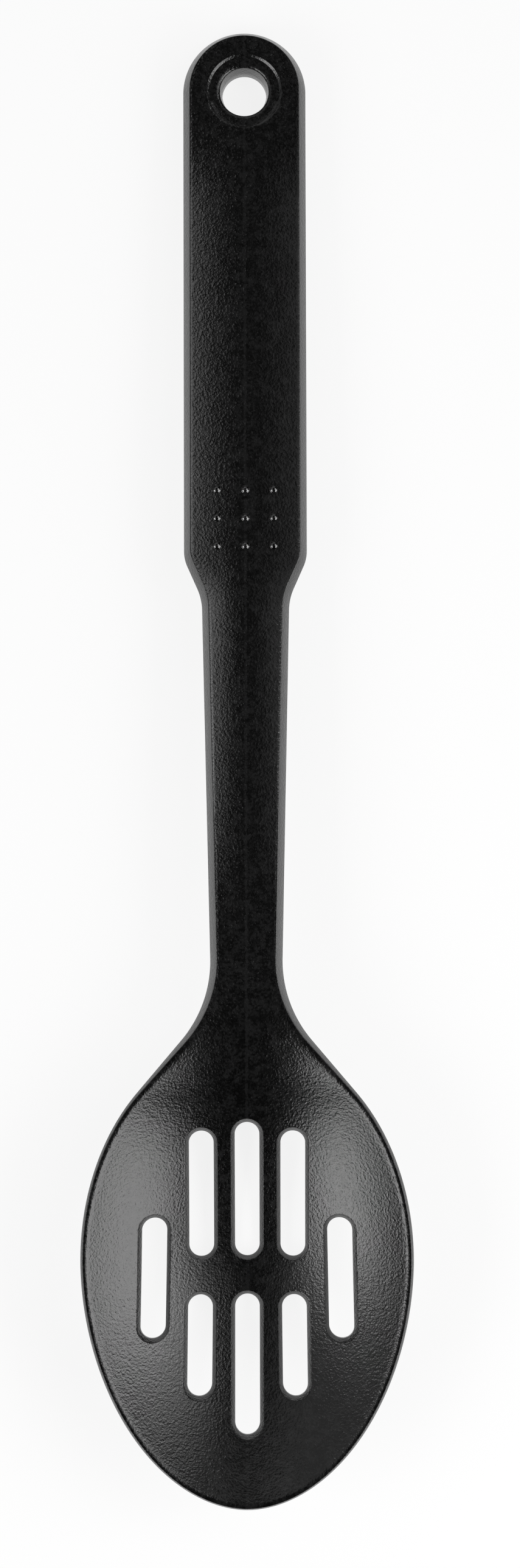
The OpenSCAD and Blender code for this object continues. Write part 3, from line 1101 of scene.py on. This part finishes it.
@dataclass
class ThumbDots:
    """Nine raised domes in a square pattern above the shoulder.

    Attributes:
        form: The moulding's surfaces.
        rest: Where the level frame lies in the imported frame.
        dot_d: Width of a dome.
        dot_h: Height of a dome.
        pitch_x: Spacing of the domes across the grip.
        pitch_y: Spacing of the domes along it.
        margin: Least distance of a dome from the shoulder.
        rows: How many domes there are each way.
        cut_share: Share of its height at which the ball of a dome is cut.
        fillet: How much each ring of the fillet at its foot grows, and how far it sinks.
        smooth_angle: The sharpest angle that is shaded smooth.
        node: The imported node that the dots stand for.
    """

    form: Form
    rest: Matrix
    dot_d: float = 1.7
    dot_h: float = 0.45
    pitch_x: float = 6.1
    pitch_y: float = 6.0
    margin: float = 0.1
    rows: int = 3
    cut_share: float = 0.12
    fillet: tuple = ((1.04, 0.035), (1.05, 0.015), (1.06, 0.004))
    smooth_angle: float = math.radians(40)
    node: str = "thumb_dots"

    # Cells of the ball that a dome is cut from
    BALL_SEGMENTS = 40
    BALL_RINGS = 48

    def dome(self) -> bpy.types.Object:
        """Cuts a ball at its foot, and draws the foot out into a small fillet.

        Returns:
            One dome, level and at the origin.
        """
        r = self.dot_d / 2
        ball = (r * r + self.dot_h * self.dot_h) / (2 * self.dot_h)
        Bench.clear()
        bpy.ops.mesh.primitive_uv_sphere_add(segments=self.BALL_SEGMENTS, ring_count=self.BALL_RINGS,
                                             radius=ball, location=(0, 0, self.dot_h - ball))
        dome = bpy.context.object
        bpy.ops.object.transform_apply(location=True)
        bpy.ops.object.mode_set(mode="EDIT")
        Bench.cut(Axis.Z, self.dot_h * self.cut_share, use_fill=False, clear_inner=True)
        for grow, sink in self.fillet:
            bpy.ops.mesh.extrude_region_move(TRANSFORM_OT_translate={"value": (0, 0, -sink)})
            bpy.ops.transform.resize(value=(grow, grow, 1), center_override=(0, 0, 0))
        bpy.ops.mesh.edge_face_add()
        Bench.sort()
        bpy.ops.object.mode_set(mode="OBJECT")
        return dome

    def build(self) -> bpy.types.Object:
        """Makes the pattern from copies of one dome.

        Returns:
            All the domes, joined as one piece.
        """
        first = self.dome()
        domes = []
        start = self.form.handle.shoulder_y + self.margin + self.dot_d / 2
        for column in range(self.rows):
            for row in range(self.rows):
                copy = first.copy()
                copy.data = first.data.copy()
                bpy.context.scene.collection.objects.link(copy)
                x, y = (column - (self.rows - 1) / 2) * self.pitch_x, start + row * self.pitch_y
                place = (x, y, self.form.front(np.array([x]), np.array([y]))[0])
                copy.data.transform(self.rest @ Matrix.Translation(place))
                domes.append(copy)
        bpy.data.objects.remove(first)
        Bench.clear()
        for dome in domes:
            dome.select_set(True)
        bpy.context.view_layer.objects.active = domes[0]
        bpy.ops.object.join()
        piece = bpy.context.object
        piece.name = piece.data.name = self.node + "_moulded"
        bpy.ops.object.shade_smooth_by_angle(angle=self.smooth_angle)
        return piece


# Finishes


class Value:
    """A number that varies over a surface: a shader socket with arithmetic."""

    def __init__(self, sheet: "Sheet", socket: bpy.types.NodeSocket) -> None:
        """Wraps a socket of a sheet."""
        self.sheet, self.socket = sheet, socket

    def _with(self, operation: str, first: "Value | float", second: "Value | float") -> "Value":
        """Adds the Math node of one operation."""
        return self.sheet.value("ShaderNodeMath", {"operation": operation}, {0: first, 1: second})

    def __add__(self, other: "Value | float") -> "Value":
        """Sum."""
        return self._with("ADD", self, other)

    __radd__ = __add__

    def __sub__(self, other: "Value | float") -> "Value":
        """Difference."""
        return self._with("SUBTRACT", self, other)

    def __rsub__(self, other: "Value | float") -> "Value":
        """Difference, with the value taken away."""
        return self._with("SUBTRACT", other, self)

    def __mul__(self, other: "Value | float") -> "Value":
        """Product."""
        return self._with("MULTIPLY", self, other)

    __rmul__ = __mul__


class Sheet:
    """The nodes of one material or world."""

    def __init__(self, owner: bpy.types.ID) -> None:
        """Empties the owner's node tree.

        Args:
            owner: The material or world.
        """
        owner.use_nodes = True
        self.tree = owner.node_tree
        self.tree.nodes.clear()

    def node(self, kind: str, settings: dict | None = None, sockets: dict | None = None) -> bpy.types.Node:
        """Adds a node.

        Args:
            kind: The node's type.
            settings: Its settings, set before its sockets.
            sockets: Values or links by socket name or number.

        Returns:
            The node.
        """
        made = self.tree.nodes.new(kind)
        for name, setting in (settings or {}).items():
            setattr(made, name, setting)
        for name, given in (sockets or {}).items():
            socket = made.inputs[name]
            if isinstance(given, Value):
                given = given.socket
            if isinstance(given, bpy.types.NodeSocket):
                self.tree.links.new(given, socket)
            else:
                socket.default_value = given
        return made

    def value(self, kind: str, settings: dict | None = None, sockets: dict | None = None) -> Value:
        """Adds a node and wraps its first output."""
        return Value(self, self.node(kind, settings, sockets).outputs[0])

    def where(self) -> bpy.types.NodeSocket:
        """The piece's own coordinates, in metres."""
        return self.node("ShaderNodeTexCoord").outputs["Object"]

    def noise(self, size_mm: float, detail: float = 2.0, roughness: float = 0.5) -> Value:
        """Adds noise.

        Args:
            size_mm: About how large its features are.
            detail: How many finer layers it has.
            roughness: How strong those layers are.

        Returns:
            The noise.
        """
        return self.value("ShaderNodeTexNoise", {}, {
            "Vector": self.where(), "Scale": 1 / (size_mm * MM), "Detail": detail, "Roughness": roughness,
        })


@dataclass(frozen=True)
class NylonFinish:
    """Black nylon as it leaves a spark-eroded mould.

    Attributes:
        name: The material's name.
        colour: Its darkest and its palest colour.
        patch_mm: Size of the patches that are darker or paler.
        contrast: How clearly the patches part.
        paleness: How much of the palest colour the middle tone has.
        roughness: Its middle roughness.
        grain_mm: Size of the spark-eroded grain.
        grain_height_mm: Height of that grain.
        cluster_mm: Size of the clusters that the grain gathers in.
        cluster_height_mm: Height of those clusters.
        fleck: How clearly the clusters show in the colour.
        wander_mm: Size of the patches that are glossier or duller.
        mottle: How far the roughness wanders.
        flow_line: How clearly the faint flow line along the spoon's middle shows.
        flow_line_mm: Half its width.
        ior: Refractive index of nylon.
    """

    name: str
    colour: tuple = ((0.0002, 0.0002, 0.0002, 1), (0.0062, 0.0062, 0.0063, 1))
    patch_mm: float = 2.4
    contrast: float = 4.4
    paleness: float = 0.26
    roughness: float = 0.25
    grain_mm: float = 0.36
    grain_height_mm: float = 0.05
    cluster_mm: float = 0.56
    cluster_height_mm: float = 0.078
    fleck: float = 3.0
    wander_mm: float = 1.12
    mottle: float = 0.07
    flow_line: float = 1.8
    flow_line_mm: float = 0.4
    ior: float = 1.53

    def material(self) -> bpy.types.Material:
        """Makes the material.

        Returns:
            The material.
        """
        made = bpy.data.materials.new(self.name)
        sheet = Sheet(made)
        grain = sheet.noise(self.grain_mm, detail=2.0, roughness=0.6)
        clusters = sheet.noise(self.cluster_mm, detail=1.0)
        height = self.grain_height_mm * grain + self.cluster_height_mm * clusters
        wander = sheet.noise(self.wander_mm, detail=3.0, roughness=0.6)
        patches = sheet.noise(self.patch_mm, detail=3.0, roughness=0.6)
        across = sheet.value("ShaderNodeSeparateXYZ", {}, {"Vector": sheet.where()})
        line = sheet.value("ShaderNodeMapRange", {"interpolation_type": "SMOOTHSTEP"}, {
            "Value": across * across, "From Min": 0.0, "From Max": (self.flow_line_mm * MM) ** 2,
            "To Min": 1.0, "To Max": 0.0,
        })
        tone = self.contrast * (patches - NOISE_MIDDLE) + self.fleck * (clusters - NOISE_MIDDLE)
        tone = tone + self.paleness + self.flow_line * line * wander
        blend = sheet.node("ShaderNodeMix", {"data_type": "RGBA"}, {
            "Factor": tone, MIX_A: self.colour[0], MIX_B: self.colour[1],
        })
        bump = sheet.node("ShaderNodeBump", {}, {"Strength": 1.0, "Distance": MM, "Height": height})
        skin = sheet.node("ShaderNodeBsdfPrincipled", {}, {
            "Base Color": blend.outputs[MIX_RESULT],
            "Roughness": self.roughness + self.mottle * (wander - NOISE_MIDDLE) * 2,
            "Normal": bump.outputs["Normal"],
            "IOR": self.ior,
        })
        sheet.node("ShaderNodeOutputMaterial", {}, {"Surface": skin.outputs[0]})
        return made


@dataclass(frozen=True)
class TableFinish:
    """The white table: plain to the light, and whiter to the eye.

    Attributes:
        name: The material's name.
        colour: Its colour in the light.
        lift: Share of plain white in what the eye sees of it.
    """

    name: str = "white_table"
    colour: tuple = (0.86, 0.86, 0.86, 1)
    lift: float = 0.85

    def material(self) -> bpy.types.Material:
        """Makes the material.

        Returns:
            The material.
        """
        made = bpy.data.materials.new(self.name)
        sheet = Sheet(made)
        path = sheet.node("ShaderNodeLightPath")
        seen = Value(sheet, path.outputs["Is Camera Ray"]) + Value(sheet, path.outputs["Is Glossy Ray"])
        seen = seen + Value(sheet, path.outputs["Is Transmission Ray"])
        plain = sheet.node("ShaderNodeBsdfDiffuse", {}, {"Color": self.colour})
        white = sheet.node("ShaderNodeEmission", {}, {"Color": (1, 1, 1, 1), "Strength": 1.0})
        both = sheet.node("ShaderNodeMixShader", {}, {
            0: seen * self.lift, 1: plain.outputs[0], 2: white.outputs[0],
        })
        sheet.node("ShaderNodeOutputMaterial", {}, {"Surface": both.outputs[0]})
        return made


# Studio


@dataclass(frozen=True)
class Softbox:
    """One large soft lamp above the table, in metres.

    Attributes:
        place: The middle of the lamp.
        aim_y: Level along the spoon's axis that it faces.
        size: Its height up the slant and its level length.
        watts: Its power.
    """

    place: tuple
    aim_y: float
    size: tuple
    watts: float

    def build(self) -> None:
        """Adds the lamp, turned towards the spoon."""
        lamp = bpy.data.lights.new("softbox", "AREA")
        lamp.shape = "RECTANGLE"
        lamp.size_y, lamp.size = self.size
        lamp.energy = self.watts
        stand = bpy.data.objects.new("softbox", lamp)
        bpy.context.scene.collection.objects.link(stand)
        stand.location = self.place
        aim = Vector((0, self.aim_y, 0)) - stand.location
        stand.rotation_euler = aim.to_track_quat("-Z", "Y").to_euler()


@dataclass
class Studio:
    """The white table, the softboxes round it and the camera above, in metres.

    Attributes:
        table_span: Width of the table.
        camera_height: Height of the camera.
        camera_x: Its place across the spoon.
        camera_y: Its place along the spoon.
        roll: Its turn about the line that it looks along.
        framed_height: What fills the picture from top to bottom.
        framed_at: How far from the camera that is.
        dim_world: Strength of the world's light on the spoon.
        far_white: Colour that the world shows beyond the table.
        softboxes: The lamps.
        table: The table's finish.
    """

    table_span: float = 6.0
    camera_height: float = 0.7
    camera_x: float = 0.003
    camera_y: float = -0.0044
    roll: float = math.radians(-0.15)
    framed_height: float = 0.33488
    framed_at: float = 0.69
    dim_world: float = 0.02
    far_white: tuple = (0.85, 0.85, 0.85, 1)
    softboxes: tuple = (
        Softbox((0.484, -0.259, 0.26), -0.259, (0.4, 0.6), 3.95),
        Softbox((0.649, 0.245, 0.738), 0.245, (0.7, 0.59), 3.0),
        Softbox((-0.684, -0.468, 0.478), -0.468, (0.43, 0.82), 6.8),
        Softbox((-0.296, 0.165, 0.261), 0.165, (0.48, 0.58), 0.36),
        Softbox((0, 0.9, 0.5), 0, (0.6, 1.0), 1.2),
    )
    table: TableFinish = field(default_factory=TableFinish)

    def build(self) -> None:
        """Adds everything that isn't the spoon."""
        self._floor()
        self._world()
        self._camera()
        for softbox in self.softboxes:
            softbox.build()
        bpy.context.scene.view_settings.view_transform = "Standard"

    def _floor(self) -> None:
        """Lays the table's top under the spoon."""
        Bench.clear()
        bpy.ops.mesh.primitive_plane_add(size=self.table_span)
        floor = bpy.context.object
        floor.name = "table_top"
        floor.data.materials.append(self.table.material())

    def _world(self) -> None:
        """Makes the world white to the eye and dim to the spoon, as a dark ceiling is."""
        world = bpy.data.worlds.new("studio")
        bpy.context.scene.world = world
        sheet = Sheet(world)
        path = sheet.node("ShaderNodeLightPath")
        dim = sheet.node("ShaderNodeBackground", {}, {"Color": (1, 1, 1, 1), "Strength": self.dim_world})
        white = sheet.node("ShaderNodeBackground", {}, {"Color": self.far_white, "Strength": 1.0})
        both = sheet.node("ShaderNodeMixShader", {}, {
            0: path.outputs["Is Camera Ray"], 1: dim.outputs[0], 2: white.outputs[0],
        })
        sheet.node("ShaderNodeOutputWorld", {}, {"Surface": both.outputs[0]})

    def _camera(self) -> None:
        """Hangs the camera above the table, looking straight down."""
        camera = bpy.data.cameras.new("overhead")
        stand = bpy.data.objects.new("overhead", camera)
        bpy.context.scene.collection.objects.link(stand)
        camera.lens = camera.sensor_width * self.framed_at / self.framed_height
        stand.location = (self.camera_x, self.camera_y, self.camera_height)
        stand.rotation_euler = (0, 0, self.roll)
        bpy.context.scene.camera = stand


class Spoon:
    """The whole moulding.

    Attributes:
        form: The moulding's surfaces.
        rest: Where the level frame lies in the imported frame.
        grip: The zone with the hanging hole.
        shank: The zone between the grip and the bowl.
        bowl: The zone with the slots.
        dots: The domes on the grip.
        nylon: The finish of all but the dots.
        gloss: The smoother finish of the dots.
    """

    def __init__(self, record: dict) -> None:
        """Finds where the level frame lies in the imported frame, and sets up the zones.

        Args:
            record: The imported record.
        """
        self.form = Form(HandleSizes(), BowlSizes())
        self.rest = self._rest_from(record)
        line, handle = self.form.outline, self.form.handle
        self.grip = Grip(self.form, self.rest, low_y=handle.shoulder_y, cell=(1.3, 4.0))
        self.shank = Shank(self.form, self.rest, low_y=line.seam_y, high_y=handle.shoulder_y, cell=(1.3, 3.0))
        self.bowl = Bowl(self.form, self.rest, high_y=line.seam_y)
        self.dots = ThumbDots(self.form, self.rest)
        self.nylon = NylonFinish("black_nylon")
        self.gloss = NylonFinish("black_nylon_dots", roughness=0.07, mottle=0.01, ior=1.8,
                                 grain_height_mm=0.001, cluster_height_mm=0.001)

    def _rest_from(self, record: dict) -> Matrix:
        """Works back from the hanging hole's mount to where the level frame lies.

        Args:
            record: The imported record.

        Returns:
            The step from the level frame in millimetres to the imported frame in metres.
        """
        mount = next(m for m in record["mounts"] if m["name"] == "hanging_hole")
        up = Vector(mount["axis"]).normalized()
        along = Vector((0, up.z, -up.y))
        handle = self.form.handle
        hole = Vector((0, handle.reach - Grip.hole_from_end, Grip.hole_land / 2 - handle.thickness)) * MM
        turn = Matrix(((1, 0, 0), (0, along.y, up.y), (0, along.z, up.z)))
        place = Vector(mount["pos_m"]) - turn @ hole
        return Matrix.Translation(place) @ turn.to_4x4() @ Matrix.Scale(MM, 4)

    def build(self) -> None:
        """Makes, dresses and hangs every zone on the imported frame."""
        nylon, gloss = self.nylon.material(), self.gloss.material()
        for zone, finish, slot in (
            (self.grip, nylon, "nylon"),
            (self.dots, gloss, "nylon_dots"),
            (self.shank, nylon, "nylon"),
            (self.bowl, nylon, "nylon"),
        ):
            piece = zone.build()
            piece.data.materials.clear()
            piece.data.materials.append(finish)
            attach(piece, "root")
            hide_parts(zone.node)
            LOG.info("%s: %d faces", piece.name, len(piece.data.polygons))


def main() -> None:
    """Builds the studio and the spoon."""
    logging.basicConfig(level=logging.INFO)
    Studio().build()
    Spoon(frame["record"]).build()


if __name__ == "__main__":
    main()
